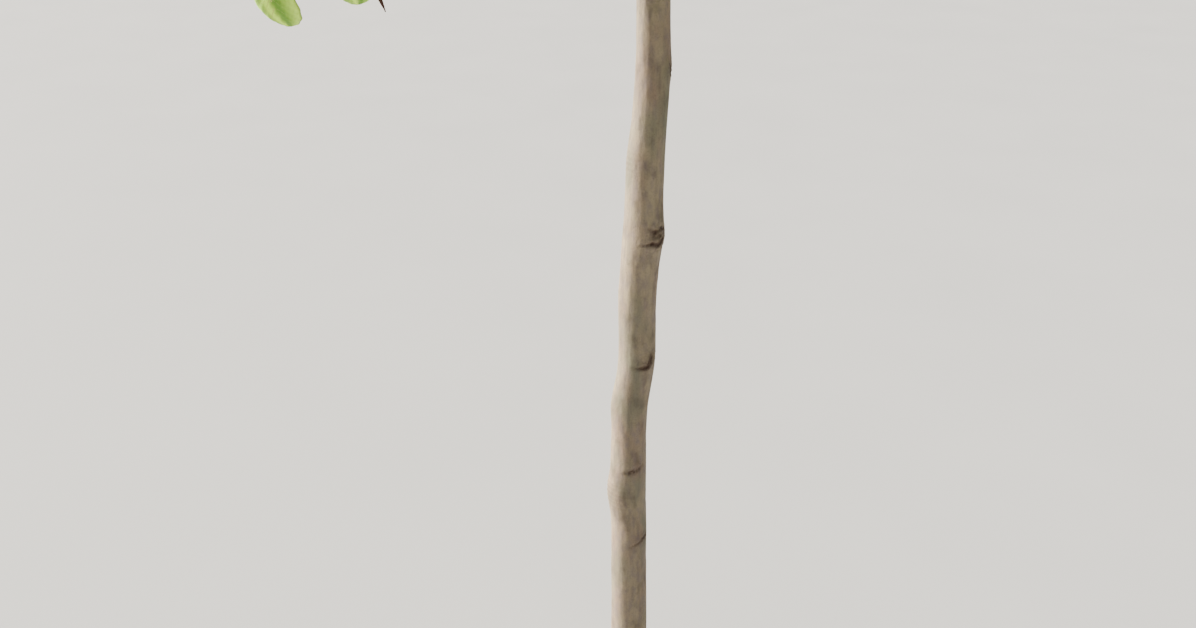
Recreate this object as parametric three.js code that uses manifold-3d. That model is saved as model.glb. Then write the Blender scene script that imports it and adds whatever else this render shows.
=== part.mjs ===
// A young broadleaf tree, rooted in the ground: one trunk with a central leader, side boughs in a spiral
// up it, and a mass of twigs and leaves at the end of each bough and on top.
// Units are millimetres, +Z is up, and the origin is the middle of the flat cut under the trunk.
import * as THREE from "three";
import { mergeVertices } from "three/addons/utils/BufferGeometryUtils.js";
import Module from "manifold-3d";

const wasm = await Module();
wasm.setup();

// Trunk
const TRUNK_TOP = 2430;
const TRUNK_RADIUS = 23.3;
const TRUNK_TOP_RADIUS = 4.3;
const TRUNK_SIDES = 12;
const TRUNK_RINGS = 44;
const FLARE = 10; // what the root flare adds to the radius at the ground
const FLARE_HEIGHT = 20;
// How far the trunk's middle stands off the vertical, as height, x and y
const TRUNK_LEAN = [
  [0, 0, 0],
  [180, -2.5, 0],
  [340, -4.8, 1],
  [400, -3.4, 1.5],
  [465, 2.6, 2],
  [550, 2.9, 1],
  [625, 6.6, 0],
  [700, 9.2, -1],
  [780, 13.4, -2],
  [860, 13.4, -2],
  [1000, 7, -2],
  [1450, -7, 5],
  [1950, -6, 3],
  [TRUNK_TOP, 6, -4],
];
// Old side shoots healed over, as height, bearing round the trunk in degrees, and swelling
const SCARS = [
  [221, -50, 1.2],
  [286, 176, 4.6],
  [330, -61, 1.4],
  [408, 176, 2.6],
  [472, -48, 1.8],
  [623, -40, 3.4],
  [706, 176, 1.6],
  [803, -20, 1.6],
];
const SCAR_HEIGHT = 26;
const SCAR_SPREAD = 55; // degrees round the trunk
const SCARRED_STRETCH = [610, 140, 2.7]; // middle, half length and swelling of the knotty stretch

// Boughs
const BOUGH_COUNT = 17;
const LOWEST_BOUGH = 922;
const HIGHEST_BOUGH = 2300;
const FIRST_BEARING = 203;
const GOLDEN_ANGLE = 137.5;
const LONGEST_BOUGH = 620; // to the tip of its mass, along the limb
const WIDEST_SHARE = 0.28; // share of the way up the boughs to the longest one
const FOOT_SHORTENING = 0.1;
const TOP_SHORTENING = 0.4;
const HEIGHT_POWER = 1.3; // over 1 sets the low boughs closer together
const LOWEST_CLIMB = 13; // degrees above level
const HIGHEST_CLIMB = 60;
const CLIMB_POWER = 0.62;
const BOUGH_LIFT = 0.24;
const LOWEST_LIFT = 0.02;
const BOUGH_SWAY = 0.16;
const LIMB_STEPS = 8;
const BARE_STEPS = 2; // steps of a limb that are bough, before its mass starts
const BOUGH_TO_TRUNK = 0.44; // a bough's radius at its foot, as a share of the trunk's there
const LIMB_TIP_RADIUS = 1.5;
const COLLAR = 0.55; // what the collar adds at the bough's foot, as a share
const COLLAR_LENGTH = 16;
const BOUGH_SIDES = 6;

// Masses of twigs and leaves
const LEADER_LENGTH = 460;
const LEADER_SWAY = 0.07;
const STEM_SIDES = 4;
const TWIGS_LOW = 6;
const TWIGS_HIGH = 5;
const FIRST_TWIG = 0.09; // shares of the mass's stem where its side twigs start and end
const LAST_TWIG = 0.81;
const TWIG_SHARE = 0.5; // the longest side twig, as a share of the mass's stem
const TWIG_SHORTENING = 0.52;
const TWIG_ANGLE = 50;
const TWIG_RETRY_TURN = 50;
const TWIG_LIFT = 0.3;
const TWIG_SWAY = 0.12;
const TWIG_STEPS = 2;
const TWIG_SIDES = 3;
const TWIG_RADIUS = 2.5;
const TWIG_TO_STEM = 0.72; // the most that a twig's radius may be at its root, as a share of the stem's
const TWIG_TIP_RADIUS = 1.4;
const TWIG_TRIES = 7;
const LEAF_LENGTH = 122;
const LEAF_WIDTH = 74;
const LEAF_THICKNESS = 2.6;
const LEAF_WIDEST = 0.42; // share of the length from the root to the widest place
const LEAF_ANGLE = 56;
const LEAF_RETRY_TURN = 60;
const LEAF_DROOP = 0.8;
const LEAF_TILT = 38;
const TIP_LEAF_SHARE = 0.95;
const TIP_LEAF_ANGLE = 18;
const TIP_LEAF_DROOP = 0.24;
const LEAF_SUNK = 0.5; // how far a leaf's root lies past the middle of its twig
const LEAF_SPACING = 42; // least distance between the middles of two leaves in a mass
const LEAVES_PER_TWIG = 4;
const LEAVES_ON_STEM = 5;
const LEAF_TRIES = 6;
const STEM_KEY = 90; // stands for the stem where a twig has its number

// The low spray under the first bough, whose leaf hangs lowest
const LOW_SPRAY_STEP = 3; // the point of the mass's stem that it hangs from
const LOW_SPRAY_LENGTH = 58;
const LOW_LEAF_SUNK = 6;
const LOW_LEAF_LENGTH = 88;
const LOW_LEAF_WIDTH = 60;

// Clearances
const TOUCH_GAP = 0.35; // between a limb and what grows on from it
const SPACE_GAP = 9; // a mass keeps this much nearer to its own stem than to any other
const LIMB_GAP = 15; // between a limb and the twigs and leaves near it
const TWIN_GAP = 0.005; // points of one solid nearer to each other than this may be taken for one
const SKIRT_HEIGHT = 902; // lowest level of the crown's leaves at the trunk
const SKIRT_SLOPE = 0.187; // how the skirt rises per unit towards -Y

const BARK = new THREE.MeshStandardMaterial({ color: 0x8f8069, roughness: 0.85, metalness: 0 });
const LEAF_GREENS = [0x7c9a3c, 0x86a544, 0x728f38];

const UP = new THREE.Vector3(0, 0, 1);
const degrees = THREE.MathUtils.degToRad;

// A repeatable number from 0 to 1 for a list of whole numbers
function chance(...keys) {
  let hash = 0x811c9dc5;
  for (const key of keys) {
    hash = Math.imul(hash ^ key, 0x01000193);
    hash = Math.imul(hash ^ (hash >>> 15), 0x2c1b3c6d);
    hash ^= hash >>> 12;
  }
  return (hash >>> 0) / 4294967296;
}

function between(low, high, ...keys) {
  return low + (high - low) * chance(...keys);
}

// The value at a height of one column of a table, on a smooth curve through its rows
function alongTable(table, column, height) {
  const last = table.length - 1;
  let k = 0;
  while (k < last - 1 && height > table[k + 1][0]) k += 1;
  const slopeAt = (i) => {
    const a = table[Math.max(0, i - 1)];
    const b = table[Math.min(last, i + 1)];
    return (b[column] - a[column]) / (b[0] - a[0]);
  };
  const span = table[k + 1][0] - table[k][0];
  const t = THREE.MathUtils.clamp((height - table[k][0]) / span, 0, 1);
  const t2 = t * t;
  const t3 = t2 * t;
  return (
    (2 * t3 - 3 * t2 + 1) * table[k][column] +
    (t3 - 2 * t2 + t) * span * slopeAt(k) +
    (3 * t2 - 2 * t3) * table[k + 1][column] +
    (t3 - t2) * span * slopeAt(k + 1)
  );
}

function trunkMiddle(height) {
  return new THREE.Vector3(
    alongTable(TRUNK_LEAN, 1, height),
    alongTable(TRUNK_LEAN, 2, height),
    height,
  );
}

function trunkTaper(height) {
  const [middle, half, swelling] = SCARRED_STRETCH;
  return (
    TRUNK_RADIUS +
    ((TRUNK_TOP_RADIUS - TRUNK_RADIUS) * height) / TRUNK_TOP +
    FLARE * Math.exp(-height / FLARE_HEIGHT) +
    swelling * Math.exp(-(((height - middle) / half) ** 2))
  );
}

// The trunk's radius at a height and a bearing, with its healed scars
function trunkRadius(height, bearing) {
  let radius = trunkTaper(height);
  for (const [scarHeight, scarBearing, swelling] of SCARS) {
    const turn = (bearing - scarBearing) % 360;
    const away = Math.abs(turn) > 180 ? 360 - Math.abs(turn) : Math.abs(turn);
    const up = (height - scarHeight) / SCAR_HEIGHT;
    radius += swelling * Math.exp(-up * up - (away / SCAR_SPREAD) ** 2);
  }
  return radius;
}

// The points of a limb that starts in a heading, lifts towards the light and sways from side to side
function growAxis(start, heading, length, lift, sway, steps) {
  const side = new THREE.Vector3().crossVectors(heading, UP);
  if (side.length() < 1e-3) side.set(1, 0, 0);
  side.normalize();
  const points = [start.clone()];
  for (let k = 0; k < steps; k += 1) {
    const u = (k + 0.5) / steps;
    const step = heading
      .clone()
      .addScaledVector(UP, lift * u)
      .addScaledVector(side, sway * Math.sin(2 * Math.PI * u))
      .normalize();
    points.push(points[k].clone().addScaledVector(step, length / steps));
  }
  return points;
}

function directionAt(points, k) {
  const a = points[Math.max(0, k - 1)];
  const b = points[Math.min(points.length - 1, k + 1)];
  return new THREE.Vector3().subVectors(b, a).normalize();
}

// The point at a share of a line of points, and the line's direction there
function placeOn(points, share) {
  const place = share * (points.length - 1);
  const k = Math.min(points.length - 2, Math.floor(place));
  return {
    point: points[k].clone().lerp(points[k + 1], place - k),
    direction: new THREE.Vector3().subVectors(points[k + 1], points[k]).normalize(),
  };
}

// Two directions square to a direction, the first as level as it can be
function squareTo(direction) {
  const across = new THREE.Vector3().crossVectors(direction, UP);
  if (across.length() < 1e-3) across.set(1, 0, 0);
  across.normalize();
  return [across, new THREE.Vector3().crossVectors(across, direction).normalize()];
}

// A direction that leaves another at an angle, turned round it by a roll, both in degrees
function branchOff(direction, angle, roll) {
  const [across, over] = squareTo(direction);
  const out = across
    .multiplyScalar(Math.cos(degrees(roll)))
    .addScaledVector(over, Math.sin(degrees(roll)));
  return direction
    .clone()
    .multiplyScalar(Math.cos(degrees(angle)))
    .addScaledVector(out, Math.sin(degrees(angle)))
    .normalize();
}

// A solid from a closed three.js geometry
function toSolid(geometry) {
  const bare = geometry.clone();
  bare.deleteAttribute("normal");
  bare.deleteAttribute("uv");
  const merged = mergeVertices(bare, 1e-4);
  return new wasm.Manifold(
    new wasm.Mesh({
      numProp: 3,
      vertProperties: merged.attributes.position.array,
      triVerts: new Uint32Array(merged.index.array),
    }),
  );
}

// The largest closed body of a solid as a geometry, with no scraps and no sealed hollows
function toGeometry(solid) {
  const bodies = solid.decompose();
  const largest = bodies.reduce((a, b) => (b.volume() > a.volume() ? b : a));
  const mesh = largest.getMesh();
  const positions = new Float32Array(mesh.numVert * 3);
  for (let i = 0; i < mesh.numVert; i += 1) {
    positions.set(mesh.vertProperties.subarray(i * mesh.numProp, i * mesh.numProp + 3), i * 3);
  }
  const geometry = new THREE.BufferGeometry();
  geometry.setAttribute("position", new THREE.BufferAttribute(positions, 3));
  geometry.setIndex(new THREE.BufferAttribute(mesh.triVerts, 1));
  geometry.computeVertexNormals();
  return geometry;
}

// A tapering limb along points: a cylinder geometry whose rings are laid on the line
function limbSolid(points, radiusAt, sides) {
  const rings = points.length - 1;
  const geometry = new THREE.CylinderGeometry(1, 1, 1, sides, rings);
  const position = geometry.attributes.position;
  const frames = [];
  let across = squareTo(directionAt(points, 0))[0];
  for (let k = 0; k <= rings; k += 1) {
    const along = directionAt(points, k);
    across = across.clone().addScaledVector(along, -across.dot(along)).normalize();
    frames.push([across, new THREE.Vector3().crossVectors(along, across)]);
  }
  for (let i = 0; i < position.count; i += 1) {
    const k = Math.round((position.getY(i) + 0.5) * rings);
    const reach = Math.hypot(position.getX(i), position.getZ(i));
    const angle = Math.atan2(position.getX(i), position.getZ(i));
    const radius = reach * radiusAt(k / rings);
    const placed = points[k]
      .clone()
      .addScaledVector(frames[k][0], radius * Math.cos(angle))
      .addScaledVector(frames[k][1], radius * Math.sin(angle));
    position.setXYZ(i, placed.x, placed.y, placed.z);
  }
  return toSolid(geometry);
}

// The trunk, whose rings lie level so that its foot is flat; extra is added all round it
function trunkSolid(extra) {
  const geometry = new THREE.CylinderGeometry(1, 1, 1, TRUNK_SIDES, TRUNK_RINGS);
  const position = geometry.attributes.position;
  for (let i = 0; i < position.count; i += 1) {
    const share = position.getY(i) + 0.5;
    const height = TRUNK_TOP * share * (0.5 + 0.5 * share); // rings are closer together low down
    const reach = Math.hypot(position.getX(i), position.getZ(i));
    const angle = Math.atan2(position.getX(i), position.getZ(i));
    const radius = reach * (trunkRadius(height, THREE.MathUtils.radToDeg(angle)) + extra);
    const middle = trunkMiddle(height);
    position.setXYZ(
      i,
      middle.x + radius * Math.cos(angle),
      middle.y + radius * Math.sin(angle),
      height,
    );
  }
  return toSolid(geometry);
}

// A leaf of eight faces: an octahedron drawn out along the leaf and pressed flat
function leafSolid(leaf) {
  const geometry = new THREE.OctahedronGeometry(1);
  const position = geometry.attributes.position;
  const side = new THREE.Vector3().crossVectors(leaf.normal, leaf.direction).normalize();
  for (let i = 0; i < position.count; i += 1) {
    const along = position.getX(i);
    const place = Math.abs(along) > 0.5 ? (along + 1) / 2 : LEAF_WIDEST;
    const placed = leaf.root
      .clone()
      .addScaledVector(leaf.direction, place * leaf.length)
      .addScaledVector(side, (position.getY(i) * leaf.width) / 2)
      .addScaledVector(leaf.normal, (position.getZ(i) * LEAF_THICKNESS) / 2);
    position.setXYZ(i, placed.x, placed.y, placed.z);
  }
  return toSolid(geometry);
}

// Points spread over a leaf, for the tests of its space
function leafSamples(leaf) {
  const side = new THREE.Vector3().crossVectors(leaf.normal, leaf.direction).normalize();
  const samples = [];
  for (const along of [0.1, 0.25, LEAF_WIDEST, 0.6, 0.8, 1]) {
    const full = along < LEAF_WIDEST ? along / LEAF_WIDEST : (1 - along) / (1 - LEAF_WIDEST);
    for (const across of [-1, -0.4, 0.4, 1]) {
      samples.push(
        leaf.root
          .clone()
          .addScaledVector(leaf.direction, along * leaf.length)
          .addScaledVector(side, (across * full * leaf.width) / 2),
      );
    }
  }
  return samples;
}

// Where each limb starts, how it heads and how far it reaches, from the lowest bough to the highest
function planLimb(i) {
  const t = i / (BOUGH_COUNT - 1);
  const height = LOWEST_BOUGH + (HIGHEST_BOUGH - LOWEST_BOUGH) * t ** HEIGHT_POWER;
  const bearing = degrees(FIRST_BEARING + i * GOLDEN_ANGLE + (i ? between(-12, 12, i, 1) : 0));
  const climbRange = HIGHEST_CLIMB - LOWEST_CLIMB;
  const climb = degrees(
    LOWEST_CLIMB + climbRange * t ** CLIMB_POWER + (i ? between(-4, 4, i, 2) : 0),
  );
  const heading = new THREE.Vector3(
    Math.cos(climb) * Math.cos(bearing),
    Math.cos(climb) * Math.sin(bearing),
    Math.sin(climb),
  );
  const below = Math.max(0, 1 - t / WIDEST_SHARE);
  const above = Math.max(0, (t - WIDEST_SHARE) / (1 - WIDEST_SHARE));
  const outline = 1 - FOOT_SHORTENING * below ** 2 - TOP_SHORTENING * above ** 1.5;
  const length = LONGEST_BOUGH * outline * between(0.94, 1.05, i, 3);
  const lift = i ? BOUGH_LIFT : LOWEST_LIFT;
  const sway = BOUGH_SWAY * (chance(i, 4) < 0.5 ? -1 : 1);
  return {
    points: growAxis(trunkMiddle(height), heading, length, lift, sway, LIMB_STEPS),
    length,
    footRadius: BOUGH_TO_TRUNK * trunkTaper(height),
  };
}

// A limb's radius at a share of its whole length from the trunk
function limbRadius(limb, share) {
  const collar = 1 + COLLAR * Math.exp((-share * limb.length) / COLLAR_LENGTH);
  return LIMB_TIP_RADIUS + (limb.footRadius - LIMB_TIP_RADIUS) * (1 - share) ** 0.9 * collar;
}

const limbs = [];
for (let i = 0; i < BOUGH_COUNT; i += 1) {
  limbs.push(planLimb(i));
}

// The stem of each mass: the outer part of each limb, and the leader on top of the trunk
const stemSteps = LIMB_STEPS - BARE_STEPS;
const stems = limbs.map((limb) => ({
  points: limb.points.slice(BARE_STEPS),
  length: (limb.length * stemSteps) / LIMB_STEPS,
  radiusAt: (share) => limbRadius(limb, (BARE_STEPS + share * stemSteps) / LIMB_STEPS),
}));
stems.push({
  points: growAxis(trunkMiddle(TRUNK_TOP), UP, LEADER_LENGTH, 0, LEADER_SWAY, stemSteps),
  length: LEADER_LENGTH,
  radiusAt: (share) => TRUNK_TOP_RADIUS + (LIMB_TIP_RADIUS - TRUNK_TOP_RADIUS) * share,
});
for (const stem of stems) {
  const away = directionAt(stem.points, 0);
  stem.spine = stem.points.map((point) => point.clone());
  stem.points[0] = stem.points[0].clone().addScaledVector(away, TOUCH_GAP);
}

// Every stretch of trunk and bough, with its radius, for the tests of clearance
const barePieces = [];
for (let height = 0; height < TRUNK_TOP; height += 60) {
  const top = Math.min(height + 60, TRUNK_TOP);
  barePieces.push([trunkMiddle(height), trunkMiddle(top), trunkTaper(height)]);
}
for (const limb of limbs) {
  for (let k = 0; k < BARE_STEPS; k += 1) {
    barePieces.push([limb.points[k], limb.points[k + 1], limbRadius(limb, k / LIMB_STEPS)]);
  }
}

const line = new THREE.Line3();
const nearest = new THREE.Vector3();

function clearOfLimbs(point) {
  return barePieces.every(([start, end, radius]) => {
    line.set(start, end);
    line.closestPointToPoint(point, true, nearest);
    return nearest.distanceTo(point) > radius + LIMB_GAP;
  });
}

// Whether a point is in a mass's own space: nearer to its stem than to any other, and above the skirt
function inOwnSpace(point, own) {
  let ownDistance = Infinity;
  let otherDistance = Infinity;
  stems.forEach((stem, i) => {
    for (const place of stem.spine) {
      const distance = place.distanceTo(point);
      if (i === own) ownDistance = Math.min(ownDistance, distance);
      else otherDistance = Math.min(otherDistance, distance);
    }
  });
  return otherDistance - ownDistance > SPACE_GAP;
}

function aboveSkirt(point) {
  return point.z > SKIRT_HEIGHT - SKIRT_SLOPE * point.y;
}

// Whether points may be taken up by a twig or leaf of a mass
function allFree(points, own) {
  return points.every((p) => aboveSkirt(p) && inOwnSpace(p, own) && clearOfLimbs(p));
}

// Whether two pieces cross so closely by a corner that two points of their union may be taken for one
function leaveTwinPoints(piece, other) {
  const { vertProperties } = piece.add(other).getMesh();
  const a = new THREE.Vector3();
  const b = new THREE.Vector3();
  for (let i = 0; i < vertProperties.length; i += 3) {
    a.fromArray(vertProperties, i);
    for (let j = 0; j < i; j += 3) {
      b.fromArray(vertProperties, j);
      if (a.distanceTo(b) < TWIN_GAP) return true;
    }
  }
  return false;
}

// The side twigs of a mass: each takes the first roll and length that keep it in the mass's space
function planTwigs(stem, stemSolid, own) {
  const count = Math.round(TWIGS_LOW + ((TWIGS_HIGH - TWIGS_LOW) * own) / BOUGH_COUNT);
  const twigs = [];
  for (let j = 0; j < count; j += 1) {
    const share = FIRST_TWIG + ((LAST_TWIG - FIRST_TWIG) * j) / (count - 1);
    const { point, direction } = placeOn(stem.points, share);
    const longest = TWIG_SHARE * stem.length * (1 - TWIG_SHORTENING * share);
    for (let attempt = 0; attempt < TWIG_TRIES; attempt += 1) {
      const roll = 360 * chance(own, 7) + j * GOLDEN_ANGLE + attempt * TWIG_RETRY_TURN;
      const heading = branchOff(direction, TWIG_ANGLE + between(-8, 8, own, j, 8), roll);
      const length = longest * between(0.86, 1.12, own, j, 9) * (1 - 0.07 * attempt);
      const points = growAxis(point, heading, length, TWIG_LIFT, TWIG_SWAY, TWIG_STEPS);
      if (!allFree(points.slice(1), own)) continue;
      const rootRadius = Math.min(TWIG_RADIUS, TWIG_TO_STEM * stem.radiusAt(share));
      const radiusAt = (u) => rootRadius + (TWIG_TIP_RADIUS - rootRadius) * u;
      const solid = limbSolid(points, radiusAt, TWIG_SIDES);
      if (leaveTwinPoints(stemSolid, solid)) continue;
      twigs.push({ points, solid, leafPlaces: LEAVES_PER_TWIG, key: j });
      break;
    }
  }
  return twigs;
}

// The leaf at one place in the spiral along a stem or twig, whose last place is its tip
function planLeaf(bone, n, own, attempt) {
  const keys = [own, bone.key, n];
  const atTip = n === bone.leafPlaces - 1;
  const share = atTip ? TIP_LEAF_SHARE : (n + 0.7) / (bone.leafPlaces - 0.1);
  const { point, direction: along } = placeOn(bone.points, share);
  const roll = 360 * chance(own, bone.key, 14) + n * GOLDEN_ANGLE + attempt * LEAF_RETRY_TURN;
  const spread = atTip ? TIP_LEAF_ANGLE + 8 * attempt : LEAF_ANGLE;
  const droop = atTip ? TIP_LEAF_DROOP : LEAF_DROOP;
  const direction = branchOff(along, spread, roll).addScaledVector(UP, -droop).normalize();
  const [across, over] = squareTo(direction);
  const tilt = degrees(between(-LEAF_TILT, LEAF_TILT, ...keys, 11));
  return {
    root: point.addScaledVector(direction, -LEAF_SUNK),
    direction,
    normal: over.multiplyScalar(Math.cos(tilt)).addScaledVector(across, Math.sin(tilt)),
    length: LEAF_LENGTH * between(0.88, 1.1, ...keys, 12),
    width: LEAF_WIDTH * between(0.9, 1.1, ...keys, 13),
  };
}

// The low spray: a short twig that hangs from the first bough's stem, with one leaf hanging on from it
function planLowSpray(stem) {
  const heading = new THREE.Vector3(0.02, -0.1, -1).normalize();
  const points = growAxis(stem.points[LOW_SPRAY_STEP], heading, LOW_SPRAY_LENGTH, 0, 0, TWIG_STEPS);
  const direction = new THREE.Vector3(0.06, 0.1, -1).normalize();
  const side = new THREE.Vector3(1, 0.15, 0);
  const leaf = {
    root: points[TWIG_STEPS].clone().addScaledVector(heading, -LOW_LEAF_SUNK),
    direction,
    normal: new THREE.Vector3().crossVectors(direction, side).normalize(),
    length: LOW_LEAF_LENGTH,
    width: LOW_LEAF_WIDTH,
  };
  const solid = limbSolid(points, () => TWIG_TIP_RADIUS, TWIG_SIDES);
  return { twig: { points, solid, leafPlaces: 0 }, leaf };
}

function crosses(a, b) {
  return a.intersect(b).volume() > 0;
}

function leafMiddle(leaf) {
  return leaf.root.clone().addScaledVector(leaf.direction, leaf.length / 2);
}

// One mass: its stem, its side twigs and the leaves that fit in its space, fused into one solid
function massSolid(stem, own) {
  const stemSolid = limbSolid(stem.points, stem.radiusAt, STEM_SIDES);
  const bones = [
    { points: stem.points, solid: stemSolid, leafPlaces: LEAVES_ON_STEM, key: STEM_KEY },
    ...planTwigs(stem, stemSolid, own),
  ];
  const leaves = [];
  if (own === 0) {
    const { twig, leaf } = planLowSpray(stem);
    bones.push(twig);
    leaves.push({ middle: leafMiddle(leaf), solid: leafSolid(leaf) });
  }
  // The leaf's solid where it may grow, or nothing
  const tryLeaf = (bone, leaf, middle) => {
    if (leaves.some((other) => other.middle.distanceTo(middle) < LEAF_SPACING)) return null;
    if (!allFree(leafSamples(leaf), own)) return null;
    const solid = leafSolid(leaf);
    if (leaves.some((other) => crosses(other.solid, solid))) return null;
    if (bones.some((other) => other !== bone && crosses(other.solid, solid))) return null;
    if (leaveTwinPoints(bone.solid, solid)) return null;
    return solid;
  };
  for (const bone of bones) {
    for (let n = 0; n < bone.leafPlaces; n += 1) {
      for (let attempt = 0; attempt < LEAF_TRIES; attempt += 1) {
        const leaf = planLeaf(bone, n, own, attempt);
        const middle = leafMiddle(leaf);
        const solid = tryLeaf(bone, leaf, middle);
        if (solid) {
          leaves.push({ middle, solid });
          break;
        }
      }
    }
  }
  return wasm.Manifold.union([...bones, ...leaves].map((piece) => piece.solid));
}

const tree = new THREE.Group();

function addNode(name, solid, material) {
  const mesh = new THREE.Mesh(toGeometry(solid), material);
  mesh.name = name;
  tree.add(mesh);
}

addNode("trunk", trunkSolid(0), BARK);

const trunkCutter = trunkSolid(TOUCH_GAP);
limbs.forEach((limb, i) => {
  const points = limb.points.slice(0, BARE_STEPS + 1);
  const radiusAt = (share) => limbRadius(limb, (share * BARE_STEPS) / LIMB_STEPS);
  const bough = limbSolid(points, radiusAt, BOUGH_SIDES);
  addNode(`bough_${i + 1}`, bough.subtract(trunkCutter), BARK);
});

stems.forEach((stem, i) => {
  const colour = LEAF_GREENS[i % LEAF_GREENS.length];
  const material = new THREE.MeshStandardMaterial({ color: colour, roughness: 0.6, metalness: 0 });
  const name = i < BOUGH_COUNT ? `foliage_${i + 1}` : "foliage_top";
  addNode(name, massSolid(stem, i), material);
});

export default tree;
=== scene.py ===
# Looks of a young broadleaf tree: bark with relief on its trunk and boughs, twigs that grow on from them by
# the rule of the solids, finer shoots, and leaves of real size in sprays.
# Growth is in millimetres, +Z up, and turned to metres where a mesh is made.
from math import cos, degrees, pi, radians, sin

import bpy
import numpy as np
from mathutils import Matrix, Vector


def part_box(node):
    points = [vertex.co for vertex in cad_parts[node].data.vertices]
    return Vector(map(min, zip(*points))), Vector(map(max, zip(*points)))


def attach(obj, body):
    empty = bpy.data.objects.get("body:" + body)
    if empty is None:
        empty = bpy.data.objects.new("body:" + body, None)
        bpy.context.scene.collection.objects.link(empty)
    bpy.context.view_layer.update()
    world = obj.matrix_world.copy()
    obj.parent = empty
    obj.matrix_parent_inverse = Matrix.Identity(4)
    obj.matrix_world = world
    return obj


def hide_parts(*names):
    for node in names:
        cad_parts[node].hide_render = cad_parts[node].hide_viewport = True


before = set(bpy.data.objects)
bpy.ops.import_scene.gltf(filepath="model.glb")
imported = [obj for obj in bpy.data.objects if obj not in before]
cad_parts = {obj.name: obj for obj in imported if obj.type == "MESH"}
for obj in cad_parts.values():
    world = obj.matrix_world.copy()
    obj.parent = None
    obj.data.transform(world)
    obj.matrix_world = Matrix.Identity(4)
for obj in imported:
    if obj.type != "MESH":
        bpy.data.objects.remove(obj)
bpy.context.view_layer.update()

MM = 0.001

# Trunk, as in the solids
TRUNK_TOP = 2430
TRUNK_RADIUS = 23.3
TRUNK_TOP_RADIUS = 4.3
FLARE = 10
FLARE_HEIGHT = 20
# How far the trunk's middle stands off the vertical, as height, x and y
TRUNK_LEAN = [
    (0, 0, 0),
    (180, -2.5, 0),
    (340, -4.8, 1),
    (400, -3.4, 1.5),
    (465, 2.6, 2),
    (550, 2.9, 1),
    (625, 6.6, 0),
    (700, 9.2, -1),
    (780, 13.4, -2),
    (860, 13.4, -2),
    (1000, 7, -2),
    (1450, -7, 5),
    (1950, -6, 3),
    (TRUNK_TOP, 6, -4),
]
# Old side shoots healed over, as height, bearing round the trunk in degrees, and swelling
SCARS = [
    (221, -50, 1.2),
    (286, 176, 4.6),
    (330, -61, 1.4),
    (408, 176, 2.6),
    (472, -48, 1.8),
    (623, -40, 3.4),
    (706, 176, 1.6),
    (803, -20, 1.6),
]
SCAR_HEIGHT = 26
SCAR_SPREAD = 55
SCARRED_STRETCH = (610, 140, 2.7)

# Boughs, as in the solids
BOUGH_COUNT = 17
LOWEST_BOUGH = 922
HIGHEST_BOUGH = 2300
FIRST_BEARING = 203
GOLDEN_ANGLE = 137.5
BEARING_STRAY = 12
LONGEST_BOUGH = 620
WIDEST_SHARE = 0.28
FOOT_SHORTENING = 0.1
TOP_SHORTENING = 0.4
TOP_POWER = 1.5
BOUGH_LENGTHS = (0.94, 1.05)  # least and most, as a share
HEIGHT_POWER = 1.3
LOWEST_CLIMB = 13
HIGHEST_CLIMB = 60
CLIMB_POWER = 0.62
CLIMB_STRAY = 4
BOUGH_LIFT = 0.24
LOWEST_LIFT = 0.02
BOUGH_SWAY = 0.16
LIMB_STEPS = 8
BARE_STEPS = 2
BOUGH_TO_TRUNK = 0.44
LIMB_TIP_RADIUS = 1.5
LIMB_TAPER = 0.9
COLLAR = 0.55
COLLAR_LENGTH = 16
TEST_STRETCH = 60  # of trunk, in the tests of clearance

# Side twigs of each mass, as in the solids
LEADER_LENGTH = 460
LEADER_SWAY = 0.07
TWIGS_LOW = 6
TWIGS_HIGH = 5
FIRST_TWIG = 0.09
LAST_TWIG = 0.81
TWIG_SHARE = 0.5
TWIG_SHORTENING = 0.52
TWIG_ANGLE = 50
TWIG_STRAY = 8
TWIG_LENGTHS = (0.86, 1.12)
TWIG_LIFT = 0.3
TWIG_SWAY = 0.12
# Tries at a place, turn and shortening from one to the next, steps, and gaps to other masses and to limbs
TWIG_TRIES = (7, 50, 0.07, 2, 9, 15)
SKIRT_HEIGHT = 902
SKIRT_SLOPE = 0.187

# Finer shoots, which the solids don't have
SHOOT_SPACING = 34
FIRST_SHOOT = 0.12
SHOOT_STRETCH = 0.84
SHOOT_SHARE = 0.62
SHOOT_SHORTENING = 0.5
SHOOT_REACH = (34, 105)
SHOOT_LENGTHS = (0.7, 1.1)
SHOOT_ANGLE = 52
SHOOT_STRAY = 10
SHOOT_SWAY = 0.3
SHOOT_TRIES = (6, 65, 0.08, 3, 0, 6)  # as for twigs
# Where the whole numbers that shoots' chances hang on start, and how many each twig has
SHOOT_KEY = 100
SHOOT_KEYS = 20

# Leaves of real size
LEAF_LENGTH = 78
LEAF_WIDTH = 54
LEAF_THICKNESS = 0.5
LEAF_STEP = 24  # between leaves along a shoot
FIRST_LEAF = 0.7  # in steps from the shoot's root
STEP_TRIM = 0.1
TIP_SHARE = 0.99
LEAF_ANGLE = 56
TIP_LEAF_ANGLE = 14
LEAF_TILT = 38
LEAF_TRIES = 4
LEAF_RETRY_TURN = 60
LEAF_SPACING = 17
LEAF_SPACE_GAP = -12  # it may reach so far into a neighbour's space
LEAF_LIMB_GAP = 2
SAMPLE_SHARE = 0.45  # of the length and width, where a leaf's space is tested
STALK_LENGTH = 24
STALK_RADIUS = 0.75
STEM_KEY = 90
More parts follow.
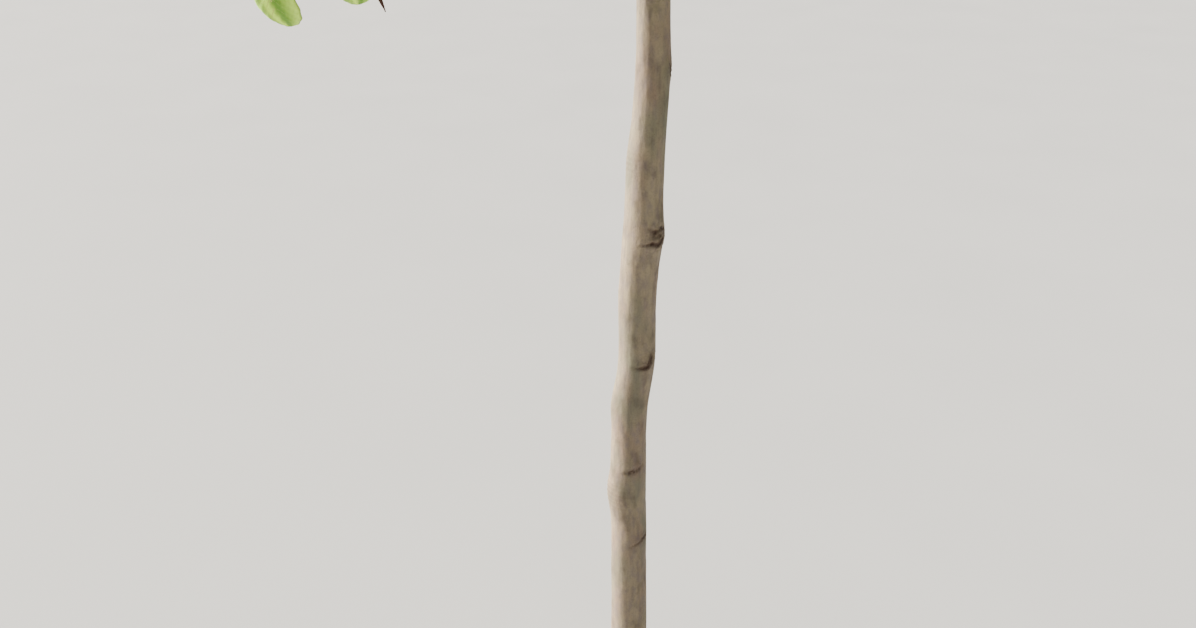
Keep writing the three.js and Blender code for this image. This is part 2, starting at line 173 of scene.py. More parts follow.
# Least and most of what differs from leaf to leaf: shares of the size, width and stalk, curl in radians, fold
# as the slope of its halves, and droop as how far it turns down for one part ahead
LEAF_SIZES = (0.78, 1.12)
LEAF_WIDTHS = (0.92, 1.06)
STALK_LENGTHS = (0.8, 1.25)
CURLS = (0.15, 0.9)
FOLDS = (0.12, 0.5)
DROOPS = (0.45, 1.15)
TIP_DROOPS = (0.1, 0.5)

# What hangs below the crown's skirt from the lowest stem: leaves, as share of the stem, root, heading, where
# the upper face looks, length, width, curl, fold, wave and tint, and the nodding shoot's share and points
LOW_LEAVES = [
    (0.52, (-334, -112, 926.5), (0, 0, -1), (-0.22, -1, 0.56), 84, 46, 1.07, 0, 1.44, "leaf_light"),
    (0.33, (-256.8, -91, 939.3), (0.08, -0.05, -1), (0.3, -1, 0.3), 81, 47, 1.21, 0.4, 0.5, "leaf_mid"),
]
NODDING_SHARE = 0.273
NODDING_POINTS = [(-242, -87, 945), (-243, -92, 908), (-232.7, -92, 874.8)]

LATTICE_ROWS = 4096
MASK = 0xFFFFFFFF


def vector(x, y, z):
    return np.array([x, y, z], float)


UP = vector(0, 0, 1)


def unit(v):
    return v / np.linalg.norm(v)


def chance(*keys):
    """A repeatable number from 0 to 1 for some whole numbers."""
    value = 0x811C9DC5
    for key in keys:
        value = ((value ^ key) * 0x01000193) & MASK
        value = ((value ^ (value >> 15)) * 0x2C1B3C6D) & MASK
        value ^= value >> 12
    return value / 4294967296


def between(low, high, *keys):
    return low + (high - low) * chance(*keys)


def stray(most, *keys):
    return between(-most, most, *keys)


def lengths(vectors):
    return np.linalg.norm(vectors, axis=-1)


def along_table(table, column, height):
    """The value at a height of one column of a table, on a smooth curve through its rows."""
    last = len(table) - 1
    k = 0
    while k < last - 1 and height > table[k + 1][0]:
        k += 1

    def slope_at(i):
        a = table[max(0, i - 1)]
        b = table[min(last, i + 1)]
        return (b[column] - a[column]) / (b[0] - a[0])

    span = table[k + 1][0] - table[k][0]
    t = min(1, max(0, (height - table[k][0]) / span))
    return (
        (2 * t**3 - 3 * t**2 + 1) * table[k][column]
        + (t**3 - 2 * t**2 + t) * span * slope_at(k)
        + (3 * t**2 - 2 * t**3) * table[k + 1][column]
        + (t**3 - t**2) * span * slope_at(k + 1)
    )


def trunk_middle(height):
    return vector(along_table(TRUNK_LEAN, 1, height), along_table(TRUNK_LEAN, 2, height), height)


def trunk_taper(height):
    middle, half, swelling = SCARRED_STRETCH
    return (
        TRUNK_RADIUS
        + (TRUNK_TOP_RADIUS - TRUNK_RADIUS) * height / TRUNK_TOP
        + FLARE * np.exp(-height / FLARE_HEIGHT)
        + swelling * np.exp(-(((height - middle) / half) ** 2))
    )


def square_to(direction):
    """Two directions square to a direction, the first as level as it can be."""
    across = np.cross(direction, UP)
    across = unit(across) if np.linalg.norm(across) > 1e-3 else vector(1, 0, 0)
    return across, unit(np.cross(across, direction))


def grow_axis(start, heading, length, lift, sway, steps):
    """The points of a limb that starts in a heading, lifts towards the light and sways."""
    side = square_to(heading)[0]
    points = [start]
    for k in range(steps):
        u = (k + 0.5) / steps
        step = heading + UP * lift * u + side * sway * sin(2 * pi * u)
        points.append(points[k] + unit(step) * length / steps)
    return np.array(points)


def place_on(points, share):
    """The point at a share of a line of points, and the line's direction there."""
    place = share * (len(points) - 1)
    k = min(len(points) - 2, int(place))
    point = points[k] + (points[k + 1] - points[k]) * (place - k)
    return point, unit(points[k + 1] - points[k])


def branch_off(direction, angle, roll):
    """A direction that leaves another at an angle, turned round it by a roll, both in degrees."""
    angle = radians(angle)
    roll = radians(roll)
    across, over = square_to(direction)
    out = across * cos(roll) + over * sin(roll)
    return unit(direction * cos(angle) + out * sin(angle))


def plan_limb(i):
    """Where a limb starts, how it heads and how far it reaches, from the lowest bough up."""
    t = i / (BOUGH_COUNT - 1)
    height = LOWEST_BOUGH + (HIGHEST_BOUGH - LOWEST_BOUGH) * t**HEIGHT_POWER
    turn = stray(BEARING_STRAY, i, 1) if i else 0
    bearing = radians(FIRST_BEARING + i * GOLDEN_ANGLE + turn)
    tilt = stray(CLIMB_STRAY, i, 2) if i else 0
    climb = radians(LOWEST_CLIMB + (HIGHEST_CLIMB - LOWEST_CLIMB) * t**CLIMB_POWER + tilt)
    level = cos(climb)
    heading = vector(level * cos(bearing), level * sin(bearing), sin(climb))
    below = max(0, 1 - t / WIDEST_SHARE)
    above = max(0, (t - WIDEST_SHARE) / (1 - WIDEST_SHARE))
    outline = 1 - FOOT_SHORTENING * below**2 - TOP_SHORTENING * above**TOP_POWER
    length = LONGEST_BOUGH * outline * between(*BOUGH_LENGTHS, i, 3)
    lift = BOUGH_LIFT if i else LOWEST_LIFT
    sway = BOUGH_SWAY * (-1 if chance(i, 4) < 0.5 else 1)
    return {
        "points": grow_axis(trunk_middle(height), heading, length, lift, sway, LIMB_STEPS),
        "length": length,
        "foot": BOUGH_TO_TRUNK * trunk_taper(height),
        "height": height,
        "bearing": degrees(bearing),
    }


def limb_radius(limb, share):
    """A limb's radius at a share of its whole length from the trunk."""
    if limb is leader:
        return TRUNK_TOP_RADIUS + (LIMB_TIP_RADIUS - TRUNK_TOP_RADIUS) * share
    collar = 1 + COLLAR * np.exp(-share * limb["length"] / COLLAR_LENGTH)
    return LIMB_TIP_RADIUS + (limb["foot"] - LIMB_TIP_RADIUS) * (1 - share) ** LIMB_TAPER * collar


limbs = [plan_limb(i) for i in range(BOUGH_COUNT)]
stem_steps = LIMB_STEPS - BARE_STEPS
leader = {
    "points": grow_axis(trunk_middle(TRUNK_TOP), UP, LEADER_LENGTH, 0, LEADER_SWAY, stem_steps),
    "length": LEADER_LENGTH,
    "key": STEM_KEY,
}

# The stem of each mass: the outer part of each limb, and the leader on top of the trunk
stems = [
    {
        "points": limb["points"][BARE_STEPS:],
        "length": limb["length"] * stem_steps / LIMB_STEPS,
        "key": STEM_KEY,
    }
    for limb in limbs
]
stems.append(leader)
spine_points = np.concatenate([stem["points"] for stem in stems])
spine_owner = np.repeat(np.arange(len(stems)), stem_steps + 1)


def bare_pieces():
    """The ends and radius of every stretch of trunk and bough, for the tests of clearance."""
    rows = []
    for height in range(0, TRUNK_TOP, TEST_STRETCH):
        top = min(height + TEST_STRETCH, TRUNK_TOP)
        rows.append((*trunk_middle(height), *trunk_middle(top), trunk_taper(height)))
    for limb in limbs:
        for k in range(BARE_STEPS):
            start, end = limb["points"][k : k + 2]
            rows.append((*start, *end, limb_radius(limb, k / LIMB_STEPS)))
    rows = np.array(rows)
    return rows[:, :3], rows[:, 3:6], rows[:, 6]


bare_starts, bare_ends, bare_radii = bare_pieces()


def clear_of_limbs(points, gap):
    along = bare_ends - bare_starts
    offset = points[:, None] - bare_starts
    share = (offset * along).sum(2) / (along * along).sum(1)
    nearest = bare_starts + along * np.clip(share, 0, 1)[:, :, None]
    distance = lengths(points[:, None] - nearest)
    return (distance > bare_radii + gap).all()


def in_own_space(points, own, gap):
    distance = lengths(points[:, None] - spine_points)
    own_distance = distance[:, spine_owner == own].min(1)
    other_distance = distance[:, spine_owner != own].min(1)
    return (other_distance - own_distance > gap).all()


def above_skirt(points):
    return (points[:, 2] > SKIRT_HEIGHT - SKIRT_SLOPE * points[:, 1]).all()


mass_names = [f"foliage_{i + 1}" for i in range(BOUGH_COUNT)] + ["foliage_top"]
mass_boxes = [np.array([list(corner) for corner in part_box(name)]) / MM for name in mass_names]


def in_reach(points, own):
    """Whether points are within the box of the mass's solid."""
    low, high = mass_boxes[own]
    return (points > low).all() and (points < high).all()


def all_free(points, own, space_gap, limb_gap):
    return (
        above_skirt(points)
        and in_reach(points, own)
        and in_own_space(points, own, space_gap)
        and clear_of_limbs(points, limb_gap)
    )


def free_branch(bone, own, share, length, angle, roll, sway, key, rule):
    """The first of some tries at a branch that is free, in a list, or an empty list."""
    tries, turn, shortening, steps, space_gap, limb_gap = rule
    start, direction = place_on(bone["points"], share)
    for attempt in range(tries):
        heading = branch_off(direction, angle, roll + attempt * turn)
        reach = length * (1 - shortening * attempt)
        points = grow_axis(start, heading, reach, TWIG_LIFT, sway, steps)
        if all_free(points[1:], own, space_gap, limb_gap):
            return [{"points": points, "length": reach, "key": key}]
    return []


def plan_twigs(stem, own):
    """The side twigs of a mass, by the rule of the solids."""
    count = round(TWIGS_LOW + (TWIGS_HIGH - TWIGS_LOW) * own / BOUGH_COUNT)
    twigs = []
    for j in range(count):
        share = FIRST_TWIG + (LAST_TWIG - FIRST_TWIG) * j / (count - 1)
        longest = TWIG_SHARE * stem["length"] * (1 - TWIG_SHORTENING * share)
        length = longest * between(*TWIG_LENGTHS, own, j, 9)
        angle = TWIG_ANGLE + stray(TWIG_STRAY, own, j, 8)
        roll = 360 * chance(own, 7) + j * GOLDEN_ANGLE
        twigs += free_branch(stem, own, share, length, angle, roll, TWIG_SWAY, j, TWIG_TRIES)
    return twigs


def plan_shoots(bone, own):
    """Finer shoots along a stem or twig, by the same rule one step further."""
    count = int(bone["length"] / SHOOT_SPACING)
    shoots = []
    for n in range(count):
        keys = (own, bone["key"], n)
        share = FIRST_SHOOT + SHOOT_STRETCH * (n + 0.5) / count
        longest = SHOOT_SHARE * bone["length"] * (1 - SHOOT_SHORTENING * share)
        length = np.clip(longest, *SHOOT_REACH) * between(*SHOOT_LENGTHS, *keys, 23)
        angle = SHOOT_ANGLE + stray(SHOOT_STRAY, *keys, 22)
        roll = 360 * chance(own, bone["key"], 21) + n * GOLDEN_ANGLE
        sway = stray(SHOOT_SWAY, *keys, 24)
        key = SHOOT_KEY + SHOOT_KEYS * bone["key"] + n
        shoots += free_branch(bone, own, share, length, angle, roll, sway, key, SHOOT_TRIES)
    return shoots


def plan_leaf(bone, n, count, own, attempt):
    """The leaf at one place in the spiral along a shoot, whose last place is its tip."""
    keys = (own, bone["key"], n)
    at_tip = n == count - 1
    share = TIP_SHARE if at_tip else (n + FIRST_LEAF) / (count - STEP_TRIM)
    point, along = place_on(bone["points"], share)
    roll = 360 * chance(own, bone["key"], 14) + n * GOLDEN_ANGLE + attempt * LEAF_RETRY_TURN
    heading = branch_off(along, TIP_LEAF_ANGLE if at_tip else LEAF_ANGLE, roll)
    droop = between(*(TIP_DROOPS if at_tip else DROOPS), *keys, 15)
    direction = unit(heading - UP * droop)
    across, over = square_to(direction)
    tilt = radians(stray(LEAF_TILT, *keys, 11))
    normal = over * cos(tilt) + across * sin(tilt)
    size = between(*LEAF_SIZES, *keys, 12)
    return {
        "foot": point,
        "heading": heading,
        "root": point + (heading + direction) * 0.5 * STALK_LENGTH * between(*STALK_LENGTHS, *keys, 16),
        "direction": direction,
        "normal": normal,
        "length": LEAF_LENGTH * size,
        "width": LEAF_WIDTH * size * between(*LEAF_WIDTHS, *keys, 13),
        "curl": between(*CURLS, *keys, 17),
        "fold": between(*FOLDS, *keys, 18),
        "wave": stray(1, *keys, 19),
        "fine": 0,
    }


def leaf_samples(leaf):
    """Points on a leaf's rib and margins, for the tests of its space."""
    side = np.cross(leaf["normal"], leaf["direction"])
    middle = leaf["root"] + leaf["direction"] * SAMPLE_SHARE * leaf["length"]
    tip = leaf["root"] + leaf["direction"] * leaf["length"]
    reach = side * SAMPLE_SHARE * leaf["width"]
    return np.array([middle, tip, middle + reach, middle - reach])


def hanging_leaf(root, heading, face, *form):
    """A leaf that hangs on its stalk from a foot straight above its root."""
    direction = unit(vector(*heading))
    face = vector(*face)
    return {
        **dict(zip(("length", "width", "curl", "fold", "wave", "tint"), form)),
        "foot": vector(*root) - direction * STALK_LENGTH,
        "heading": direction,
        "root": vector(*root),
        "direction": direction,
        "normal": unit(face - direction * direction.dot(face)),
        "fine": 1,
    }


TINTS = {"leaf_mid": 0.4, "leaf_light": 0.33, "leaf_deep": 0.15, "leaf_yellow": 0.12}  # with their shares


def tint_of(own, key):
    drawn = chance(own, key, 31)
    for tint, share in TINTS.items():
        drawn -= share
        if drawn < 0:
            return tint
    return "leaf_mid"


def grow_mass(stem, own):
    """The side twigs, shoots and leaves of one mass."""
    twigs = plan_twigs(stem, own)
    shoots = [shoot for bone in [stem, *twigs] for shoot in plan_shoots(bone, own)]
    leaves = []
    middles = []
    for bone in [*shoots, *twigs, stem]:
        count = max(2, round(bone["length"] / LEAF_STEP))
        tint = tint_of(own, bone["key"])
        for n in range(count):
            for attempt in range(LEAF_TRIES):
                leaf = plan_leaf(bone, n, count, own, attempt)
                samples = leaf_samples(leaf)
                if middles and lengths(np.array(middles) - samples[0]).min() < LEAF_SPACING:
                    continue
                if all_free(samples, own, LEAF_SPACE_GAP, LEAF_LIMB_GAP):
                    leaf["tint"] = tint
                    leaves.append(leaf)
                    middles.append(samples[0])
                    break
    return twigs, shoots, leaves


# Mesh building


def place_object(name, data):
    thing = bpy.data.objects.new(name, data)
    bpy.context.scene.collection.objects.link(thing)
    return thing


class Heap:
    """Collects tubes, to be made into one mesh with a shade for each point."""

    def __init__(self):
        self.points = []
        self.faces = []
        self.shades = []
        self.count = 0

    def add(self, line, radii, shades, sides):
        """A tube along a line, with a radius and a shade for each of its points."""
        self.points.append(tube_points(line, radii, sides))
        self.faces.append(tube_faces(len(line), sides) + self.count)
        self.shades.append(ring_values(shades[:, None], sides))
        self.count += len(self.points[-1])

    def grow(self, points, steps, root, tip, darkness, power, sides):
        """A tube on a curve through points that tapers and darkens from its root to its tip."""
        line = smooth_line(points, steps)
        share = np.linspace(0, 1, len(line))
        self.add(line, root + (tip - root) * share, darkness * share**power, sides)

    def make(self, name, material):
        points, faces, shades = (np.concatenate(part) for part in (self.points, self.faces, self.shades))
        mesh_piece(name, points, faces, material, "young_bark", mass_names, shades)


def mesh_piece(name, points, faces, material, slot, nodes, shade=None):
    """A piece from points in millimetres and triangles, with an optional number for each point."""
    mesh = bpy.data.meshes.new(name)
    mesh.vertices.add(len(points))
    mesh.vertices.foreach_set("co", (points * MM).astype(np.float32).ravel())
    mesh.loops.add(faces.size)
    mesh.loops.foreach_set("vertex_index", faces.astype(np.int32).ravel())
    mesh.polygons.add(len(faces))
    mesh.polygons.foreach_set("loop_start", np.arange(len(faces), dtype=np.int32) * 3)
    mesh.polygons.foreach_set("use_smooth", np.ones(len(faces), bool))
    if shade is not None:
        mesh.attributes.new("shade", "FLOAT", "POINT").data.foreach_set("value", shade.astype(np.float32))
    mesh.materials.append(material)
    mesh.update(calc_edges=True)
    piece = place_object(name, mesh)
    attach(piece, "root")
    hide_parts(*nodes)


def tube_faces(rings, sides):
    """The triangles of a tube whose first and last points close its ends."""
    k, i = np.meshgrid(np.arange(rings - 1), np.arange(sides), indexing="ij")
    a = 1 + k * sides + i
    b = 1 + k * sides + (i + 1) % sides
    walls = np.stack([a, b, b + sides, a, b + sides, a + sides], -1).reshape(-1, 3)
    ring = np.arange(sides)
    after = (ring + 1) % sides
    last = 1 + (rings - 1) * sides
    start = np.stack([np.zeros(sides, int), 1 + after, 1 + ring], -1)
    end = np.stack([np.full(sides, last + sides), last + ring, last + after], -1)
    return np.concatenate([walls, start, end])


def closed(line, rings):
    """The points of tubes from their rings, with the first and last points of their lines at the ends."""
    rings = rings.reshape(*line.shape[:-2], -1, 3)
    return np.concatenate([line[..., :1, :], rings, line[..., -1:, :]], -2)


def tube_frames(points):
    """Two directions square to a line at each of its points, that don't twist along it."""
    ahead = np.gradient(points, axis=0)
    ahead /= lengths(ahead)[:, None]
    across = square_to(ahead[0])[0]
    frames = []
    for along in ahead:
        across = unit(across - along * across.dot(along))
        frames.append((across, np.cross(along, across)))
    return np.array(frames)


def tube_points(points, radii, sides):
    """The points of a tube along a line: radii holds one number a ring, or one for each of its points."""
    frames = tube_frames(points)
    angle = (2 * pi * np.arange(sides) / sides)[None, :, None]
    out = frames[:, 0, None] * np.cos(angle) + frames[:, 1, None] * np.sin(angle)
    radii = radii.reshape(len(points), -1)
    return closed(points, points[:, None] + out * radii[:, :, None])


def ring_values(values, sides):
    """One value for each point of a tube, from one number a ring or one for each of its points."""
    rings = np.broadcast_to(values, (len(values), sides))
    return np.concatenate([rings[0, :1], rings.ravel(), rings[-1, :1]])


def smooth_line(points, steps):
    """A curve through points, with a number of steps between each two."""
    rows = [(k, *point) for k, point in enumerate(points)]
    places = np.linspace(0, len(points) - 1, (len(points) - 1) * steps + 1)
    return np.array([[along_table(rows, column, place) for column in (1, 2, 3)] for place in places])


def lattice_noise(u, v, cell_u, cell_v, around, seed):
    """Smooth noise from -1 to 1 at u and v, which repeats in v after a number of cells."""
    lattice = np.random.default_rng(seed).uniform(-1, 1, (LATTICE_ROWS, around))

    def value(i, j):
        return lattice[i % LATTICE_ROWS, j % around]

    def split(x):
        whole = np.floor(x).astype(int)
        rest = x - whole
        return whole, rest * rest * (3 - 2 * rest)

    a, fa = split(u / cell_u)
    b, fb = split(v / cell_v)
    low = value(a, b) * (1 - fb) + value(a, b + 1) * fb
    high = value(a + 1, b) * (1 - fb) + value(a + 1, b + 1) * fb
    return low * (1 - fa) + high * fa


def bump(x):
    return np.exp(-(x * x))


# Creases of healed side shoots, as height, bearing, reach to the left and right as the camera sees
# them, how far each end drops, depth and width
CREASES = [
    (618.5, -66, 14, 6, 4, 1, 1.1, 1.5),
    (465, -68, 16, 10, -1, 0, 0.7, 2),
    (326.5, -80, 12, 17, 5, -6, 1.1, 2.5),
    (221, -54, 16, 12, 8, -5, 1.1, 2.1),
    (1105, -95, 12, 12, 5, 5, 0.7, 1.8),
    (700, 40, 14, 12, 6, 7, 1, 2),
    (388, 62, 13, 15, 6, 5, 1, 2),
    (520, 128, 12, 12, 7, 6, 0.9, 2),
    (150, 100, 12, 14, 5, 7, 0.9, 2),
]
# Furrows of the two large knots. Each runs straight between two places, given as how far they are to the
# right of the knot's middle and above it, and has a width and a weight.
HIGH_KNOT = [
    (6.5, 9, 1.8, 11.5, 3, 1),
    (1.8, 11, -5.5, 8.5, 1.8, 0.7),
    (-6, 9, -6.5, 4, 2.8, 1),
    (-12, 12.5, -7.5, 8, 1.9, 0.6),
    (6.7, 8, 5.8, -2.5, 2, 0.8),
    (5.8, -2.5, 4, -5.5, 2.4, 1),
    (4, -5.5, -1.5, -7.5, 2.8, 1),
    (-1.5, -7.5, -8, -5.5, 2.4, 0.9),
    (-8, -1.5, -8.5, -5, 1.6, 0.5),
    (-4, -12, -1, -15, 2, 0.3),
    (-1, 4, 0.5, -1.5, 2.8, 0.55),
]
LOW_KNOT = [
    (0.5, 10, 1.5, 3, 2.4, 0.6),
    (1.5, 4, -0.5, -2.5, 3.6, 0.95),
    (-0.5, -2.5, -3, -7.5, 2.8, 0.8),
    (-3, -8, -11, -7.5, 2.2, 0.6),
    (-8, -1, -9, -5, 2.2, 0.3),
    (3, -2, 10, -1, 1.4, 0.3),
]
# Knots, as height, bearing and their furrows
KNOTS = [
    (623, -42, HIGH_KNOT),
    (473, -49, LOW_KNOT),
    (803, -20, [(-1, 5, 1, -4, 2.4, 0.9), (1, -4, 5, -6, 1.8, 0.6)]),
    (326, -75, [(-5, -2.5, 5, 3, 3.4, 0.35)]),
    (226, -34, [(-5, -1, 2, 0, 2.2, 0.7)]),
    (500, 60, [(-5, 5, 4, 6, 2.2, 1), (4, 6, 6, -3, 2, 0.9), (6, -3, -3, -7, 2.2, 1)]),
]
# Wrinkled places, as height, bearing, how far they reach up and down and to the sides, and depth
WRINKLES = [(286, 176, 24, 26, 0.55), (706, 176, 14, 16, 0.35), (560, 95, 20, 22, 0.4)]
PLEAT = 6.2
PLEAT_STRAY = 0.6
# Painted shade in the hollows of the pleats
PLEAT_PAINTED_SHADE = 0.35

# How the trunk swells under a bough, as depth, drop, half width and half height in radii of the bough's foot
FOOT_SWELLING = (0.2, 0.5, 1.5, 2.2)
# The ridge of bark over it, as rise, bend and half width in the same radii, its depth and half height, and
# the strength and half height of the painted shade in its groove
RIDGE = (1.5, 0.07, 1.7)
RIDGE_DEPTH = (0.5, 1.6)
RIDGE_PAINTED_SHADE = (0.55, 2.4)

# How a crease bends and fades to its ends, its lip, as height, place and width in its depths and widths, and
# the painted shade in its groove, as strength, grit and width
CREASE_BEND = 1.3
CREASE_FADE = 0.6
CREASE_LIP = (0.5, 2.6, 1.7)
CREASE_PAINTED_SHADE = (0.5, 0.35, 1.5)

# A knot's rough middle, as size, relief, shade and grit, and its furrows: how they stray, their depth, their
# lips, as height, place and width, and their darkening, scar colour with painted shade in the groove, as
# strength, grit and width
KNOT_MIDDLE = (11, 0.35, 0.3, 0.25)
FURROW_STRAY = 0.45
FURROW_DEPTH = 0.8
FURROW_LIP = (0.45, 1.9, 0.7)
FURROW_SHADE = (0.6, 0.3, 1.15)

# Noises of the bark, as a cell's height, its width in degrees, how many go round, and seed
ROUGH = (2.4, 6, 60, 5)
GRIT = (1.9, 3.75, 96, 6)
# Its unevenness, as depth and noise
UNEVENNESS = [(0.35, 34, 45, 8, 1), (0.16, 11, 12, 30, 2), (0.07, 22, 6, 60, 3), (0.05, *ROUGH)]

# The trunk's rings: their spacing at a mark, on the bare trunk and in the crown, and between which distances
# from a mark it widens
MARK_RINGS = 1.1
TRUNK_RINGS = 2.2
CROWN_RINGS = 5.4
MARK_REACH = (14, 40)
TRUNK_SIDES = 96

# A limb's nodes: how far apart, how much they shift from one limb to the next, and the strength and half
# height of their rings and of their shade
LIMB_SIDES = 18
LIMB_CURVE = 12  # steps between two points of the rule
NODE_SPACING = 31
NODE_SHIFT = 0.15
NODE_RING = (0.07, 2.6)
NODE_SHADE = (0.45, 2.2)
# The grain of its bark, as depth in radii, and noise with what is added to the limb's own seed
LIMB_GRAIN = [(0.05, 14, 40, 9, 0), (0.03, 5, 20, 18, 50)]


def off_stroke(across, up, stroke):
    """How far places are from a straight stroke, in its widths."""
    x, y, end_x, end_y, width = stroke
    run = vector(end_x - x, end_y - y, 0)
    share = ((across - x) * run[0] + (up - y) * run[1]) / run.dot(run)
    share = np.clip(share, 0, 1)
    return np.hypot(across - x - run[0] * share, up - y - run[1] * share) / width


def trunk_relief(height, bearing):
    """Radius and shade of the trunk's bark at arrays of heights and bearings in degrees. The shade is scar
    colour at the knots, and painted shade in their furrows, the creases, the pleats and the ridges' grooves.
    """
    taper = trunk_taper(height)
    radius = taper.copy()
    shade = np.zeros_like(radius)

    def turn(middle):
        return (bearing - middle + 180) % 360 - 180

    def arc(middle):
        return np.radians(turn(middle)) * taper

    for middle, toward, swelling in SCARS:
        radius += swelling * bump((height - middle) / SCAR_HEIGHT) * bump(turn(toward) / SCAR_SPREAD)
    for limb in limbs:
        across = arc(limb["bearing"])
        up = height - limb["height"]
        swelling, drop, wide, tall = (size * limb["foot"] for size in FOOT_SWELLING)
        radius += swelling * bump(across / wide) * bump((up + drop) / tall)
        rise, bend, wide = RIDGE
        ridge = up - rise * limb["foot"] + bend * across * across / limb["foot"]
        over = bump(across / (wide * limb["foot"]))
        radius -= RIDGE_DEPTH[0] * bump(ridge / RIDGE_DEPTH[1]) * over
        # painted shade along the ridge's groove
        shade += RIDGE_PAINTED_SHADE[0] * bump(ridge / RIDGE_PAINTED_SHADE[1]) * over
    rough = lattice_noise(height, bearing, *ROUGH)
    grit = lattice_noise(height, bearing, *GRIT)
    for middle, toward, left, right, left_drop, right_drop, depth, width in CREASES:
        across = arc(toward)
        reach = np.where(across < 0, left, right)
        drop = np.where(across < 0, left_drop, right_drop)
        share = np.abs(across) / reach
        up = (height - middle + drop * share**CREASE_BEND) / width
        fade = np.clip(1 - share, 0, 1) ** CREASE_FADE
        lip, place, wide = CREASE_LIP
        radius += depth * fade * (lip * bump((up - place) / wide) - bump(up))
        # painted shade darkens the crease's groove
        strong, gritty, wide = CREASE_PAINTED_SHADE
        shade += (strong + gritty * grit) * fade * bump(up / wide)
    for middle, toward, furrows in KNOTS:
        across = arc(toward)
        up = height - middle
        size, relief, strong, gritty = KNOT_MIDDLE
        inside = bump(np.hypot(across, up) / size)
        radius += relief * grit * inside
        shade += (strong + gritty * grit) * furrows[0][5] * inside
        for *stroke, weight in furrows:
            gap = off_stroke(across, up, stroke) * (1 + FURROW_STRAY * grit)
            lip, place, wide = FURROW_LIP
            radius += weight * (lip * bump((gap - place) / wide) - FURROW_DEPTH * bump(gap))
            # each furrow darkens with scar colour and with painted shade in its groove
            strong, gritty, wide = FURROW_SHADE
            shade += weight * (strong + gritty * grit) * bump(gap / wide)
    for middle, toward, tall, wide, depth in WRINKLES:
        window = bump(arc(toward) / wide) * bump((height - middle) / tall)
        pleat = 0.5 - 0.5 * np.cos(2 * pi * (height - middle + PLEAT_STRAY * rough) / PLEAT)
        radius -= depth * window * pleat
        # painted shade in each pleat's hollow
        shade += PLEAT_PAINTED_SHADE * window * pleat
    for depth, *noise in UNEVENNESS:
        radius += depth * lattice_noise(height, bearing, *noise)
    return radius, np.clip(shade, 0, 1)


def ring_heights():
    """The heights of the trunk's rings, close together at its marks and wide apart among the boughs."""
    marks = [mark[0] for mark in CREASES + KNOTS]
    heights = [0.0]
    while heights[-1] < TRUNK_TOP:
        nearest = min(abs(heights[-1] - mark) for mark in marks)
        widest = TRUNK_RINGS if heights[-1] < LOWEST_BOUGH else CROWN_RINGS
        heights.append(heights[-1] + np.interp(nearest, MARK_REACH, (MARK_RINGS, widest)))
    return np.array([*heights[:-1], TRUNK_TOP])


def trunk_mesh():
    """The trunk's points, triangles and shade: level rings from the ground to its tip."""
    heights = ring_heights()
    bearings = np.arange(TRUNK_SIDES) * 360 / TRUNK_SIDES
    height, bearing = np.meshgrid(heights, bearings, indexing="ij")
    radius, shade = trunk_relief(height, bearing)
    middles = np.array([trunk_middle(h) for h in heights])
    out = np.stack([np.cos(np.radians(bearing)), np.sin(np.radians(bearing)), 0 * bearing], -1)
    points = closed(middles, middles[:, None] + out * radius[:, :, None])
    return points, tube_faces(len(heights), TRUNK_SIDES), ring_values(shade, TRUNK_SIDES)


def limb_mesh(limb, seed):
    """A limb's points, triangles and shade, with rings of bark at its nodes."""
    line = smooth_line(limb["points"], LIMB_CURVE)
    share = np.linspace(0, 1, len(line))
    far = np.concatenate([[0], np.cumsum(lengths(np.diff(line, axis=0)))])
    node = np.abs((far / NODE_SPACING + NODE_SHIFT * seed) % 1 - 0.5) * NODE_SPACING
    radius = limb_radius(limb, share) * (1 + NODE_RING[0] * bump(node / NODE_RING[1]))
    angle = np.arange(LIMB_SIDES) * 360 / LIMB_SIDES
    u, v = np.meshgrid(far, angle, indexing="ij")
    grain = sum(depth * lattice_noise(u, v, *cells, seed + more) for depth, *cells, more in LIMB_GRAIN)
    radii = radius[:, None] * (1 + grain)
    shade = ring_values(NODE_SHADE[0] * bump(node / NODE_SHADE[1])[:, None], LIMB_SIDES)
    return tube_points(line, radii, LIMB_SIDES), tube_faces(len(line), LIMB_SIDES), shade


# Leaf blades

# A blade's rows from root to tip, both counted, and its columns between the margins, on top and underneath
BLADE_GRID = (13, (-0.52, 0, 0.52), (0,))
FINE_COLUMNS = tuple(np.linspace(-1, 1, 17)[1:-1])
FINE_GRID = (49, FINE_COLUMNS, FINE_COLUMNS)
TEETH = 12  # counted as half waves along each margin
ROW_CROWDING = 0.6  # how far the rows crowd towards the blade's ends, from 0 to 1

# Side veins, each from a share of the rib towards the margin, which it would meet further along by the reach
FIRST_VEIN = 0.05
VEIN_REACH = 0.36
VEIN_START = 0.02
VEIN_END = 0.88
VEIN_SIDES = 3
VEIN_RADII = (0.76, 0.36)
# Their pairs, spacing and rings
VEINS = (4, 0.15, 2)
FINE_VEINS = (5, 0.135, 6)
# How far a fine blade swells between its veins, and its margins roll back
QUILT = 1.3
MARGIN_ROLL = 5
# How deep a fine blade's colour is, how much more between its veins, and the streaks of painted light down
# it, as how much more, place across and width: painted shade beside the rib, a painted sunlit streak down one
# side and painted light along the other's margin
FINE_DEPTH = 0.6
FINE_VEIN_DEPTH = 0.2
PAINTED_LIGHT_STREAKS = [(0.35, -0.18, 0.24), (-0.8, 0.3, 0.18), (-0.4, -0.92, 0.25)]

# A blade's outline: the lower the first, the wider it is near its root, the lower the second, the blunter
OUTLINE_FOOT = 0.78
OUTLINE_BLUNTNESS = 0.54
TIP_NARROWING = 0.06
# Its teeth, as a share of the half width and of the length, and how much of them a fine blade lacks
TOOTH_WIDTH = 0.045
TOOTH_LENGTH = 0.015
FINE_TOOTH_LOSS = 0.6
